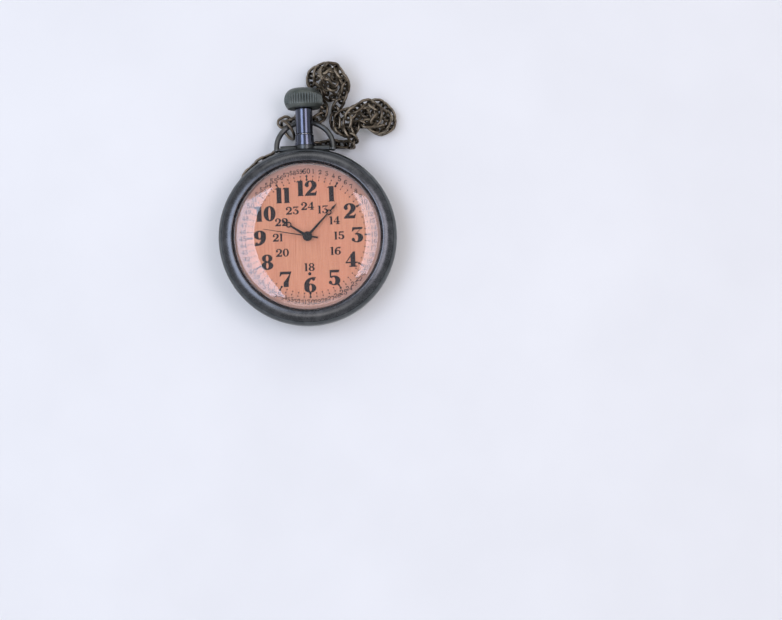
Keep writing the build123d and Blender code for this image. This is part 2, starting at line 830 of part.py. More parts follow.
# The centre wheel carries the cannon pinion's long tube, which holds the minute hand.
with BuildPart() as centre_wheel:
    with BuildSketch(Plane.XY.offset(layer_d)):
        Polygon(*tooth_outline(64, 0.085), align=None)
        open_web(2.2, 0.8, 0.45)
    extrude(amount=wheel_t)
    with BuildSketch(Plane.XY.offset(layer_d)):
        Circle(cannon_r)
    extrude(amount=minute_hand_z - layer_d)
    with BuildSketch(Plane.XY.offset(minute_hand_z)):
        Circle(cannon_r - 0.12)
    extrude(amount=hand_t + 0.1)
    with BuildSketch(Plane.XY.offset(motion_z)):
        Polygon(*tooth_outline(12, 0.1), align=None)
    extrude(amount=motion_t)
    with BuildSketch(Plane.XY.offset(layer_d)):
        Circle(arbor_r + 0.05)
    extrude(amount=second_hand_z - layer_d, mode=Mode.SUBTRACT)
save(centre_wheel.part, "centre_wheel")

# ---------------------------------------------------------------- motion work and keyless work

with BuildPart() as minute_wheel:
    with BuildSketch(Plane.XY.offset(motion_z)):
        with wheel_on(minute_x, minute_y):
            Polygon(*tooth_outline(36, 0.1), align=None)
    extrude(amount=wheel_t)
    with BuildSketch(Plane.XY.offset(motion_z)):
        with wheel_on(minute_x, minute_y):
            Polygon(*tooth_outline(10, 0.096), align=None)
    extrude(amount=hour_wheel_z + 0.2 - motion_z)
    with BuildSketch(Plane.XY.offset(front_arbor_z0)):
        with wheel_on(minute_x, minute_y):
            Circle(arbor_r)
    extrude(amount=1.5)
save(minute_wheel.part, "minute_wheel")

with BuildPart() as hour_wheel:
    with BuildSketch(Plane.XY.offset(hour_wheel_z)):
        Polygon(*tooth_outline(40, 0.096, 4.5), align=None)
    extrude(amount=wheel_t)
    with BuildSketch(Plane.XY.offset(hour_wheel_z)):
        Circle(hour_tube_r)
    extrude(amount=hour_hand_z - hour_wheel_z)
    with BuildSketch(Plane.XY.offset(hour_hand_z)):
        Circle(hour_tube_r - 0.12)
    extrude(amount=hand_t + 0.05)
    with BuildSketch(Plane.XY.offset(hour_wheel_z)):
        Circle(cannon_r + 0.05)
    extrude(amount=minute_hand_z - hour_wheel_z, mode=Mode.SUBTRACT)
save(hour_wheel.part, "hour_wheel")

with BuildPart() as setting_wheel:
    with BuildSketch(Plane.XY.offset(motion_z)):
        with wheel_on(setting_x, setting_y):
            Polygon(*tooth_outline(18, 0.1), align=None)
    extrude(amount=wheel_t)
    with BuildSketch(Plane.XY.offset(front_arbor_z0)):
        with wheel_on(setting_x, setting_y):
            Circle(arbor_r)
    extrude(amount=motion_z + wheel_t - front_arbor_z0)
save(setting_wheel.part, "setting_wheel")

# The sliding pinion turns with the stem's square and has a groove for the yoke.
pinion_y0 = 3.15
pinion_teeth_w = 0.35
pinion_body_r = 0.7
pinion_body_w = 1.3
groove_y0 = 4.0
groove_r = 0.56
groove_w = 0.4
square_side = 2 * square_half + 0.06
with BuildPart() as sliding_pinion:
    with BuildSketch(across_y(pinion_y0)):
        Polygon(*tooth_outline(16, 0.1), align=None)
    extrude(amount=pinion_teeth_w)
    with BuildSketch(across_y(pinion_y0 + pinion_teeth_w)):
        Circle(pinion_body_r)
    extrude(amount=pinion_body_w)
    with BuildSketch(across_y(groove_y0)):
        Circle(pinion_body_r + 0.05)
        Circle(groove_r, mode=Mode.SUBTRACT)
    extrude(amount=groove_w, mode=Mode.SUBTRACT)
    with BuildSketch(across_y(pinion_y0)):
        Rectangle(square_side, square_side)
    extrude(amount=pinion_teeth_w + pinion_body_w, mode=Mode.SUBTRACT)
save(sliding_pinion.part, "sliding_pinion")

lever_z = 7.78
with BuildPart() as setting_lever:
    with BuildSketch(Plane.XY.offset(lever_z)):
        with Locations((lever_x, lever_y)):
            Circle(0.55)
        Polygon((lever_x, 5.15), (lever_x, 6.15), (0.2, 6.25), (0.2, 5.75), align=None)
        with Locations((0.42, 6.0)):
            Circle(0.28)
    extrude(amount=lever_t)
    with BuildSketch(Plane.XY.offset(lever_z)):
        with Locations((0.42, 6.0)):
            Circle(0.16)
    extrude(amount=-0.45)
    with BuildSketch(Plane.XY.offset(front_arbor_z0)):
        with Locations((lever_x, lever_y)):
            Circle(arbor_r)
    extrude(amount=lever_z + 0.2 - front_arbor_z0)
save(setting_lever.part, "setting_lever")

with BuildPart() as yoke:
    with BuildSketch(Plane.XY.offset(plate_web_z1)):
        with Locations((-2.3, 5.7)):
            Circle(0.5)
        Polygon((-2.75, 5.7), (-1.9, 5.9), (-0.75, 4.75), (-0.75, 3.95), (-1.6, 4.2), align=None)
    extrude(amount=lever_t)
save(yoke.part, "yoke")

# ---------------------------------------------------------------- chain

# The jump ring hangs round the bow's wire and is wide enough for the wire to move through it. Its centre
# is where the wire is at hang_x when the bow has dropped most of the way. The chain is hooked on at
# hook_turn below the ring's outer end, so that the ring's wire lies inside the first link's end.
hang_x = -4.6
hang_lean = math.radians(bow_lean + 0.75 * bow_swing)
hook_turn = math.radians(25)
hook_slack = 0.35
first_bend = Vector(-4.2, 32.9, 1.9)
arc_reach = math.sqrt(bow_r**2 - hang_x**2)
hang_way = Vector(0, math.cos(hang_lean), -math.sin(hang_lean))
ring_axis = Vector(arc_reach / bow_r, 0, 0) - hang_way * (hang_x / bow_r)
ring_centre = Vector(hang_x, bow_y, stem_z) + hang_way * (bow_leg + arc_reach)
outer_end = Vector(0, 0, 1).cross(ring_axis).normalized()
lower_end = outer_end.cross(ring_axis)
hooked_wire = ring_centre + (outer_end * math.cos(hook_turn) + lower_end * math.sin(hook_turn)) * ring_r
hook = hooked_wire + (hooked_wire - first_bend).normalized() * hook_slack
with BuildPart() as jump_ring:
    with Locations(Plane(origin=ring_centre, z_dir=ring_axis)):
        Torus(ring_r, ring_wire / 2)
save(jump_ring.part, "jump_ring")

# The chain's rough route: from the jump ring under the neck, round and round in the heap beside the
# crown, round and round in the heap on the right, then back under the neck and along the case's edge.
chain_route = [
    tuple(hook), tuple(first_bend), (-2.0, 33.5, 1.6), (0.4, 33.4, 1.5), (2.9, 33.6, 1.45),
    (5.1, 34.9, 1.45), (5.8, 37.3, 1.45), (4.4, 39.8, 1.45), (2.0, 41.7, 1.45), (0.3, 43.2, 1.45),
    (1.8, 44.9, 1.45), (4.4, 44.9, 1.45), (6.8, 44.2, 1.45), (8.4, 42.2, 1.45), (8.6, 39.6, 1.45),
    (7.9, 37.2, 1.8), (6.9, 38.6, 3.8), (5.8, 40.8, 4.5), (3.4, 42.4, 4.5), (0.9, 42.4, 4.5),
    (0.1, 44.2, 4.5), (2.2, 45.2, 4.5), (4.6, 44.6, 4.5), (6.8, 43.2, 4.6), (7.9, 41.1, 4.7),
    (7.4, 38.8, 5.6), (6.8, 40.8, 7.3), (4.6, 42.6, 7.4), (2.2, 42.9, 7.2), (1.6, 44.8, 7.0),
    (3.8, 45.2, 7.3), (6.0, 44.4, 7.4), (7.9, 42.4, 6.8), (8.4, 39.9, 5.6), (8.5, 37.5, 4.2),
    (9.0, 35.2, 2.4), (7.4, 33.6, 1.45), (5.4, 32.4, 1.45), (5.9, 30.1, 1.45), (8.0, 29.0, 1.45),
    (10.4, 29.4, 1.45), (12.3, 31.0, 1.45), (13.6, 33.1, 1.45), (15.4, 34.8, 1.45), (17.8, 35.3, 1.45),
    (20.2, 35.3, 1.45), (22.5, 34.5, 1.45), (23.8, 32.4, 1.45), (23.2, 30.1, 1.45), (21.1, 28.8, 1.45),
    (18.7, 28.8, 1.45), (16.9, 30.2, 2.0), (18.0, 32.0, 3.4), (20.2, 32.9, 4.4), (22.4, 32.4, 4.5),
    (22.8, 30.2, 4.5), (20.7, 29.4, 4.5), (18.3, 29.9, 4.6), (17.0, 31.9, 4.7), (18.2, 34.1, 4.6),
    (16.4, 35.3, 4.6), (14.1, 34.4, 4.6), (12.2, 32.8, 4.5), (9.8, 32.8, 4.5), (7.9, 31.3, 4.5),
    (9.6, 29.4, 4.5), (12.0, 29.6, 4.6), (14.0, 31.0, 5.4), (16.0, 32.4, 7.0), (18.3, 31.8, 7.4),
    (20.6, 31.2, 7.3), (21.9, 33.1, 7.2), (20.2, 34.6, 7.0), (17.8, 34.4, 7.2), (15.4, 34.0, 7.4),
    (13.0, 34.4, 7.2), (10.9, 33.4, 7.1), (10.8, 31.1, 7.0), (12.6, 29.4, 6.4), (13.8, 27.6, 4.6),
    (13.2, 26.0, 2.6), (11.2, 25.5, 1.6), (8.8, 25.8, 1.45), (6.4, 26.1, 1.45), (4.2, 25.8, 1.45),
    (1.8, 25.0, 1.45), (-0.6, 24.5, 1.45), (-3.4, 24.3, 1.5), (-6.2, 23.9, 1.5), (-9.6, 22.8, 1.5),
    (-12.4, 21.5, 1.5), (-14.9, 19.6, 1.5), (-16.9, 17.0, 1.52), (-18.4, 14.4, 1.6), (-19.7, 12.0, 1.75),
]
loose_from = 4
loose_to = -15
under_edge_z = 1.7
edge_reach = 0.7
neck_room = 4.25


def even_steps(route, step):
    """Points a link's pitch apart along a smooth curve through the route."""
    curve = Spline(*route)
    fine = np.array([tuple(curve.position_at(share)) for share in np.linspace(0, 1, 4000)])
    points = [fine[0]]
    for point in fine:
        if np.linalg.norm(point - points[-1]) >= step:
            points.append(point)
    return np.array(points)


def keep_clear(points):
    """Lift points out of the table and move them off the case, the neck and the crown."""
    points = points.copy()
    away = np.hypot(points[:, 0], points[:, 1])
    wanted = np.where(points[:, 2] < under_edge_z, case_r - edge_reach, case_r + chain_room)
    grow = np.maximum(wanted / away, 1)
    points[:, :2] *= grow[:, None]
    crown_half = (crown_h + crown_pull) / 2
    along = (points[:, 1] - crown_y0 - crown_half) / (crown_half + chain_room)
    round_crown = (crown_r + chain_room) * np.sqrt(np.maximum(1 - along**4, 0))
    beside_neck = (points[:, 1] > case_r - 1) & (points[:, 1] < crown_y0)
    round_neck = np.where(beside_neck, neck_room, 0)
    away = np.hypot(points[:, 0], points[:, 2] - stem_z)
    grow = np.maximum(np.maximum(round_crown, round_neck) / away, 1)
    points[:, 0] *= grow
    points[:, 2] = stem_z + (points[:, 2] - stem_z) * grow
    points[:, 2] = np.maximum(points[:, 2], lowest_axis)
    return points


def hold_apart(points, free, near, far, stride, wanted, only_if_less):
    """Move pairs of points, a fixed count of links apart, towards the wanted distance."""
    for first in range(stride):
        a = np.arange(first, len(points) - far, stride)
        b = a + near
        gap = points[b] - points[a]
        length = np.linalg.norm(gap, axis=1, keepdims=True)
        change = length - wanted
        if only_if_less:
            change = np.minimum(change, 0)
        shift = gap * change / length
        share_a = free[a].astype(float)[:, None]
        share_b = free[b].astype(float)[:, None]
        total = np.maximum(share_a + share_b, 1e-9)
        points[a] += shift * share_a / total
        points[b] -= shift * share_b / total


def push_strands(points):
    """How far to move each point so that strands that pass close by lie beside or on each other."""
    count = len(points)
    both = np.empty((2 * count - 1, 3))
    both[::2] = points
    both[1::2] = (points[1:] + points[:-1]) / 2
    order = np.arange(len(both)) / 2
    gaps = both[None] - both[:, None]
    distance = np.linalg.norm(gaps, axis=2) + 1e-9
    strangers = order[None] - order[:, None] >= 2.6
    i, j = np.nonzero(strangers & (distance < strand_gap))
    push = np.zeros_like(both)
    hits = np.zeros(len(both))
    step = gaps[i, j] / distance[i, j, None] * (strand_gap - distance[i, j])[:, None] / 2
    np.add.at(push, i, -step)
    np.add.at(push, j, step)
    np.add.at(hits, i, 1)
    np.add.at(hits, j, 1)
    push /= np.maximum(hits, 1)[:, None]
    move = push[::2].copy()
    move[:-1] += push[1::2] / 2
    move[1:] += push[1::2] / 2
    return move


def settle(start, rounds=900):
    """Let the chain sink: links keep their pitch, bends stay gentle and strands rest on each other."""
    points = start.copy()
    free = np.zeros(len(points), bool)
    free[loose_from:loose_to] = True
    least = 2 * link_pitch * math.cos(math.radians(sharpest_bend / 2))
    for turn in range(rounds):
        if turn < 0.7 * rounds:
            points[free, 2] -= 0.012
        points[free] += 0.004 * (start[free] - points[free])
        for _ in range(3):
            hold_apart(points, free, 1, 1, 2, link_pitch, False)
            hold_apart(points, free, 2, 2, 4, least, True)
            points[free] += push_strands(points)[free]
            points[free] = keep_clear(points[free])
    return points


def link_planes(joints):
    """A plane for each link: X along the link, Y across it, each turned a right angle from the last."""
    planes = []
    side = None
    count = len(joints) - 1
    for index in range(count):
        along = joints[index + 1] - joints[index]
        along /= np.linalg.norm(along)
        level = np.cross((0, 0, 1), along)
        level /= np.linalg.norm(level)
        if side is None:
            side = level
        side = side - np.dot(side, along) * along
        side /= np.linalg.norm(side)
        off = math.degrees(math.atan2(np.dot(np.cross(side, level), along), np.dot(side, level)))
        off = (off + 45) % 90 - 45
        ease = math.radians(max(-14, min(14, off)))
        side = side * math.cos(ease) + np.cross(along, side) * math.sin(ease)
        roll = link_roll if index % 2 == 0 else -link_roll
        roll += 4 * math.sin(2.3 * index) - max(0, link_roll - 11 * index)
        turn = math.radians(roll)
        across = side * math.cos(turn) + np.cross(along, side) * math.sin(turn)
        normal = np.cross(along, across)
        middle = (joints[index] + joints[index + 1]) / 2
        planes.append(Plane(origin=tuple(middle), x_dir=tuple(along), z_dir=tuple(normal)))
    return planes


link_half = (link_length - link_width) / 2
link_end_r = (link_width - link_wire) / 2
with BuildPart() as link:
    with BuildLine() as link_line:
        Line((-link_half, -link_end_r), (link_half, -link_end_r))
        ThreePointArc(
            (link_half, -link_end_r),
            (link_half + link_end_r, 0),
            (link_half, link_end_r),
        )
        Line((link_half, link_end_r), (-link_half, link_end_r))
        ThreePointArc(
            (-link_half, link_end_r),
            (-link_half - link_end_r, 0),
            (-link_half, -link_end_r),
        )
    with BuildSketch(Plane(origin=(0, -link_end_r, 0), z_dir=(1, 0, 0))):
        Circle(link_wire / 2)
    sweep(path=link_line.line)

chain_joints = settle(even_steps(chain_route, link_pitch))

# One ring more joins the chain to the clasp, which lies flat under the case's edge.
clasp_z = clasp_z0 + clasp_t / 2
end_ring_out = 2 * end_ring_r - link_wire * 0.7
last_joint = chain_joints[-1]
level_out = last_joint[:2] - chain_joints[-2][:2]
level_out /= np.linalg.norm(level_out)
drop = (last_joint[2] - clasp_z) / end_ring_out
ring_way = np.append(level_out * math.sqrt(1 - drop**2), -drop)
ring_far = last_joint + ring_way * end_ring_out
ring_middle = last_joint + ring_way * (end_ring_out - end_ring_r)
all_joints = np.vstack([chain_joints, 2 * ring_middle - last_joint])
*planes, ring_plane = link_planes(all_joints)

neck_links = 5
crown_heap_links = 33
case_links = 21
chain_runs = {
    "chain_from_bow": planes[:neck_links],
    "chain_heap_by_crown": planes[neck_links:crown_heap_links],
    "chain_heap_to_right": planes[crown_heap_links:-case_links],
    "chain_along_case": planes[-case_links:],
}
for name, run in chain_runs.items():
    links = [link.part.moved(plane.location) for plane in run]
    save(Compound(children=links), name)
print("links", len(planes), "chain length", round(len(planes) * link_pitch))

with BuildPart() as chain_end_ring:
    with Locations(ring_plane):
        Torus(end_ring_r, end_ring_wire / 2)
save(chain_end_ring.part, "chain_end_ring")

# ---------------------------------------------------------------- clasp

# Drawn along +X from its eye, then laid down. A forked body holds the thumb lever on a pin.
clasp_turn = math.degrees(math.atan2(level_out[1], level_out[0])) + 14
clasp_place = Location(tuple(ring_far), (0, 0, clasp_turn))
eye_r = 1.7
eye_hole_r = 1.0
eye_t = 0.5
jaw_x0 = 2.4
jaw_x1 = 9.4
lever_pin_x = 4.3
lever_pin_y = -0.95
lever_pin_r = 0.3
thumb_lever_t = 0.8
with BuildPart() as clasp_body:
    with BuildSketch(Plane.XY.offset(-clasp_t / 2)):
        with Locations(((jaw_x0 + jaw_x1) / 2, 0)):
            SlotOverall(jaw_x1 - jaw_x0, 2 * clasp_half)
    extrude(amount=clasp_t)
    chamfer(clasp_body.faces().filter_by(Axis.Z).edges(), 0.2)
    with BuildSketch(Plane.XY.offset(-clasp_t / 2)):
        with Locations((6.7, 0)):
            SlotOverall(3.9, 2 * clasp_mouth_half)
        with Locations((6.35, -1.2)):
            Rectangle(2.5, 1.2)
    extrude(amount=clasp_t, mode=Mode.SUBTRACT)
    with BuildSketch(Plane.XY.offset(-thumb_lever_t / 2 - fit)):
        with Locations((4.7, -1.15)):
            Rectangle(2.6, 1.3)
    extrude(amount=thumb_lever_t + 2 * fit, mode=Mode.SUBTRACT)
    with BuildSketch(Plane.XY.offset(-clasp_t / 2 + 0.1)):
        with Locations((lever_pin_x, lever_pin_y)):
            Circle(lever_pin_r)
    extrude(amount=clasp_t - 0.2)
    with BuildSketch(Plane.XY.offset(-eye_t / 2)):
        Circle(eye_r)
        with Locations((2.1, 0)):
            Rectangle(2.2, 1.8)
        Circle(eye_hole_r, mode=Mode.SUBTRACT)
    extrude(amount=eye_t)
save(clasp_body.part.moved(clasp_place), "clasp_body")

with BuildPart() as clasp_lever:
    with BuildSketch(Plane.XY.offset(-thumb_lever_t / 2)):
        with Locations(((3.5 + 7.5) / 2, lever_pin_y)):
            Rectangle(4.0, 0.8)
        with Locations((3.85, -1.45)):
            Rectangle(0.7, 0.8)
        with Locations((lever_pin_x, lever_pin_y)):
            Circle(lever_pin_r + fit, mode=Mode.SUBTRACT)
    extrude(amount=thumb_lever_t)
save(clasp_lever.part.moved(clasp_place), "clasp_lever")
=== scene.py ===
"""The looks of an open-face pocket watch with a heaped fob chain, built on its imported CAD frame.

Lengths are in metres and the frame is the CAD's own: +Z out of the dial, +Y to 12 o'clock.
"""

import json
import math

import bmesh
import bpy
from mathutils import Matrix, Vector
from mathutils.geometry import delaunay_2d_cdt


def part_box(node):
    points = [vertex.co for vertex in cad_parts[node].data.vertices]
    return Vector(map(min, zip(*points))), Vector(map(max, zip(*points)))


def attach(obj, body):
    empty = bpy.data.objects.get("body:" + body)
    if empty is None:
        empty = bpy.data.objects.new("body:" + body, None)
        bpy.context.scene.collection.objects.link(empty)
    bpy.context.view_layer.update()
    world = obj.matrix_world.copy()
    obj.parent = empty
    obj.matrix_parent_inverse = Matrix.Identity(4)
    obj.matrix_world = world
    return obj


MM = 0.001

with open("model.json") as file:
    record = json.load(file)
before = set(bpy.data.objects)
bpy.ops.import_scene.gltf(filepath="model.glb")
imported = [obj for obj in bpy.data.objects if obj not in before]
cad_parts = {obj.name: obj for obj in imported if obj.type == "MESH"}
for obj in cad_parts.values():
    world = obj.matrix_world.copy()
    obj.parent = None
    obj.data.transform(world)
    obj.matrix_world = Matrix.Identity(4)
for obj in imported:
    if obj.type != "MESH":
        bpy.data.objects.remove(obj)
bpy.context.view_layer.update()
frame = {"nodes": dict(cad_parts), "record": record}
nodes = frame["nodes"]

# ---------------------------------------------------------------- places read from the frame

case_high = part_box("case_middle")[1]
dial_low, dial_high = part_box("dial")
dial_r = (dial_high.x - dial_low.x) / 2
dial_top = dial_high.z


# ---------------------------------------------------------------- material helpers


class Recipe:
    """A new material with short ways to add and join its nodes."""

    def __init__(self, name):
        self.material = bpy.data.materials.new(name)
        self.material.use_nodes = True
        self.tree = self.material.node_tree
        self.tree.nodes.clear()
        self.output = self.tree.nodes.new("ShaderNodeOutputMaterial")
        self.coordinates = self.tree.nodes.new("ShaderNodeTexCoord")

    def link(self, source, target):
        self.tree.links.new(source, target)

    def node(self, kind, **settings):
        made = self.tree.nodes.new(kind)
        for key, value in settings.items():
            setattr(made, key, value)
        return made

    def place(self, stretch=(1, 1, 1), turn=(0, 0, 0)):
        """Object coordinates in millimetres, stretched along each axis."""
        mapping = self.node("ShaderNodeMapping")
        self.link(self.coordinates.outputs["Object"], mapping.inputs["Vector"])
        mapping.inputs["Scale"].default_value = [s / MM for s in stretch]
        mapping.inputs["Rotation"].default_value = turn
        return mapping.outputs["Vector"]

    def noise(self, scale, detail=3.0, roughness=0.55, stretch=(1, 1, 1), turn=(0, 0, 0), distortion=0.0):
        made = self.node("ShaderNodeTexNoise")
        made.inputs["Scale"].default_value = scale
        made.inputs["Detail"].default_value = detail
        made.inputs["Roughness"].default_value = roughness
        made.inputs["Distortion"].default_value = distortion
        self.link(self.place(stretch, turn), made.inputs["Vector"])
        return made.outputs["Fac"]

    def ramp(self, source, *stops):
        """A colour ramp through (position, colour or grey) stops."""
        made = self.node("ShaderNodeValToRGB")
        band = made.color_ramp
        while len(band.elements) < len(stops):
            band.elements.new(0.5)
        for element, (position, colour) in zip(band.elements, stops):
            element.position = position
            element.color = (*colour, 1) if isinstance(colour, tuple) else (colour, colour, colour, 1)
        self.link(source, made.inputs["Fac"])
        return made.outputs["Color"]

    def mix(self, share, first, second):
        """Mixes two colours; share, first and second are sockets or plain values."""
        made = self.node("ShaderNodeMix", data_type="RGBA")
        for value, socket in ((share, made.inputs[0]), (first, made.inputs[6]), (second, made.inputs[7])):
            if isinstance(value, bpy.types.NodeSocket):
                self.link(value, socket)
            else:
                socket.default_value = (*value, 1) if isinstance(value, tuple) else value
        return made.outputs[2]

    def math(self, operation, first, second=0.0):
        made = self.node("ShaderNodeMath", operation=operation)
        for value, socket in ((first, made.inputs[0]), (second, made.inputs[1])):
            if isinstance(value, bpy.types.NodeSocket):
                self.link(value, socket)
            else:
                socket.default_value = value
        return made.outputs[0]

    def crevices(self, reach, low=0.35, high=0.95):
        """0 in the open and 1 in corners closer than reach, in millimetres; it masks painted shade."""
        made = self.node("ShaderNodeAmbientOcclusion", samples=6)
        made.inputs["Distance"].default_value = reach * MM
        return self.ramp(made.outputs["AO"], (low, 1.0), (high, 0.0))

    def shader(self, **values):
        """The Principled shader; a value is a socket or a plain value."""
        made = self.node("ShaderNodeBsdfPrincipled")
        for key, value in values.items():
            socket = made.inputs[key.replace("_", " ")]
            if isinstance(value, bpy.types.NodeSocket):
                self.link(value, socket)
            elif isinstance(value, tuple):
                socket.default_value = (*value, 1)
            else:
                socket.default_value = value
        self.link(made.outputs[0], self.output.inputs["Surface"])
        return made

    def bump(self, shader, height, depth, strength=1.0):
        """Bumps of this depth in millimetres."""
        made = self.node("ShaderNodeBump")
        made.inputs["Strength"].default_value = strength
        made.inputs["Distance"].default_value = depth * MM
        self.link(height, made.inputs["Height"])
        self.link(made.outputs[0], shader.inputs["Normal"])


def worn_metal(name, colour, worn, shade_and_grime, roughness, grain=0.012, reach=0.5):
    """A dark plated metal: cloudy patina, fine scratches, rubbed high spots, and grime with painted shade
    darkening its corners.
    """
    r = Recipe(name)
    clouds = r.noise(0.35, detail=5)
    specks = r.noise(6.0, detail=4)
    scratches = r.noise(1.4, detail=2, stretch=(0.5, 9, 4), turn=(0.2, 0.1, 0.5))
    crossed = r.noise(1.1, detail=2, stretch=(8, 0.6, 4), turn=(0.1, 0.3, -0.4))
    base = r.mix(r.ramp(clouds, (0.35, 0.0), (0.68, 1.0)), colour, worn)
    rubbed = r.mix(r.ramp(scratches, (0.62, 0.0), (0.72, 0.5)), base, worn)
    rubbed = r.mix(r.ramp(crossed, (0.64, 0.0), (0.74, 0.4)), rubbed, worn)
    # Painted shade and grime: an ambient-occlusion mask darkens corners and crevices towards a near-black
    # colour.
    shaded_and_dirty = r.mix(r.crevices(reach), rubbed, shade_and_grime)
    rough = r.ramp(r.mix(0.5, clouds, specks), (0.3, roughness - 0.08), (0.7, roughness + 0.1))
    metal = r.shader(Base_Color=shaded_and_dirty, Metallic=1.0, Roughness=rough)
    r.bump(metal, r.mix(0.5, specks, scratches), grain)
    return r.material


def polished_metal(name, colour, haze, roughness, tint=0.5):
    """A dark polished plating with finger haze and hairline scratches."""
    r = Recipe(name)
    smears = r.noise(0.22, detail=4, distortion=0.6)
    hairlines = r.noise(1.2, detail=2, stretch=(7, 0.4, 4), turn=(0, 0, 0.6))
    base = r.mix(r.ramp(smears, (0.35, 0.0), (0.7, tint)), colour, haze)
    rough = r.ramp(smears, (0.3, roughness), (0.72, roughness + 0.12))
    metal = r.shader(Base_Color=base, Metallic=1.0, Roughness=rough)
    r.bump(metal, hairlines, 0.002)
    return r.material


def bright_metal(name, colour, roughness):
    """A brushed bright metal for the works."""
    r = Recipe(name)
    brushed = r.noise(1.6, detail=2, stretch=(1, 14, 1))
    base = r.mix(r.ramp(brushed, (0.3, 0.0), (0.7, 0.5)), colour, tuple(0.7 * c for c in colour))
    rough = r.ramp(brushed, (0.3, roughness), (0.7, roughness + 0.15))
    metal = r.shader(Base_Color=base, Metallic=1.0, Roughness=rough)
    r.bump(metal, brushed, 0.003)
    return r.material


def moulded(name, colour, roughness, grain=0.004):
    """A moulded or rubber surface with a fine grain."""
    r = Recipe(name)
    grainy = r.noise(9.0, detail=3)
    clouds = r.noise(0.5, detail=3)
    base = r.mix(r.ramp(clouds, (0.3, 0.0), (0.7, 0.4)), colour, tuple(0.75 * c for c in colour))
    rough = r.ramp(grainy, (0.3, roughness - 0.05), (0.7, roughness + 0.08))
    plastic = r.shader(Base_Color=base, Roughness=rough)
    r.bump(plastic, grainy, grain)
    return r.material


def coil_wire(name):
    """Fine copper windings round a barrel that lies along X."""
    r = Recipe(name)
    turns = r.node("ShaderNodeTexWave", wave_type="BANDS", bands_direction="X", wave_profile="SIN")
    turns.inputs["Scale"].default_value = 2.4
    turns.inputs["Distortion"].default_value = 0.2
    r.link(r.place(), turns.inputs["Vector"])
    base = r.ramp(turns.outputs["Color"], (0.1, (0.16, 0.045, 0.015)), (0.9, (0.62, 0.24, 0.09)))
    wire = r.shader(Base_Color=base, Metallic=0.9, Roughness=0.35)
    r.bump(wire, turns.outputs["Color"], 0.04)
    return r.material


def circuit_lacquer(name):
    """Green lacquer over faint copper tracks."""
    r = Recipe(name)
    cells = r.node("ShaderNodeTexVoronoi", feature="DISTANCE_TO_EDGE", distance="MANHATTAN")
    cells.inputs["Scale"].default_value = 0.9
    r.link(r.place(), cells.inputs["Vector"])
    tracks = r.ramp(cells.outputs["Distance"], (0.05, 1.0), (0.09, 0.0))
    base = r.mix(tracks, (0.012, 0.09, 0.03), (0.05, 0.2, 0.06))
    board = r.shader(Base_Color=base, Roughness=0.28, Coat_Weight=0.4)
    r.bump(board, tracks, 0.02)
    return r.material


def brushed_dial(name):
    """Matt salmon copper, brushed from 12 to 6, ribbed finely, and painted darker towards its rim as shade
    from the bezel.
    """
    r = Recipe(name)
    fine = r.noise(2.6, detail=3, stretch=(3.2, 0.06, 1))
    broad = r.noise(0.9, detail=2, stretch=(1.6, 0.05, 1))
    clouds = r.noise(0.09, detail=3)
    ribs = r.node("ShaderNodeTexWave", wave_type="BANDS", bands_direction="X", wave_profile="SIN")
    ribs.inputs["Scale"].default_value = 0.95
    ribs.inputs["Distortion"].default_value = 1.4
    ribs.inputs["Detail"].default_value = 2.0
    ribs.inputs["Detail Scale"].default_value = 0.6
    r.link(r.place((1, 0.12, 1)), ribs.inputs["Vector"])
    cross = r.noise(2.2, detail=1, stretch=(0.5, 2.4, 1))
    deep = (0.37, 0.130, 0.060)
    pale = (0.58, 0.255, 0.135)
    base = r.mix(r.ramp(fine, (0.32, 0.0), (0.68, 1.0)), deep, pale)
    base = r.mix(r.ramp(broad, (0.3, 0.0), (0.7, 0.45)), base, pale)
    base = r.mix(r.math("MULTIPLY", ribs.outputs["Fac"], 0.28), base, (0.68, 0.33, 0.19))
    base = r.mix(r.ramp(cross, (0.45, 0.0), (0.75, 0.25)), base, (0.66, 0.30, 0.17))
    base = r.mix(r.ramp(clouds, (0.35, 0.0), (0.7, 0.35)), base, (0.56, 0.19, 0.11))
    from_middle = r.node("ShaderNodeVectorMath", operation="LENGTH")
    r.link(r.place((1, 1, 0)), from_middle.inputs[0])
    # Painted shade: the dial darkens towards its rim, as if it lay in the bezel's shadow.
    rim_shade = r.ramp(r.math("DIVIDE", from_middle.outputs["Value"], dial_r / MM), (0.74, 0.0), (0.95, 0.75))
    base = r.mix(rim_shade, base, (0.29, 0.19, 0.155))
    face = r.shader(Base_Color=base, Metallic=0.1, Roughness=0.6, Specular_IOR_Level=0.25)
    r.bump(face, r.mix(0.35, fine, ribs.outputs["Fac"]), 0.006)
    return r.material


def printed_ink(name, colour):
    """Print with slightly uneven cover."""
    r = Recipe(name)
    cover = r.noise(5.0, detail=4)
    base = r.mix(r.ramp(cover, (0.4, 0.0), (0.75, 0.5)), colour, tuple(2.2 * c + 0.004 for c in colour))
    ink = r.shader(Base_Color=base, Roughness=r.ramp(cover, (0.3, 0.6), (0.7, 0.8)), Specular_IOR_Level=0.15)
    r.bump(ink, cover, 0.003)
    return r.material


def clear_glass(name):
    """Clear mineral glass with faint smears, which casts no shadow on the dial."""
    r = Recipe(name)
    smears = r.noise(0.12, detail=4, distortion=0.8)
    glass = r.shader(
        Base_Color=(0.985, 0.985, 1.0),
        Roughness=r.ramp(smears, (0.4, 0.0), (0.8, 0.03)),
        IOR=1.5,
        Transmission_Weight=1.0,
    )
    clear = r.node("ShaderNodeBsdfTransparent")
    path = r.node("ShaderNodeLightPath")
    joined = r.node("ShaderNodeMixShader")
    r.link(path.outputs["Is Shadow Ray"], joined.inputs[0])
    r.link(glass.outputs[0], joined.inputs[1])
    r.link(clear.outputs[0], joined.inputs[2])
    r.link(joined.outputs[0], r.output.inputs["Surface"])
    return r.material


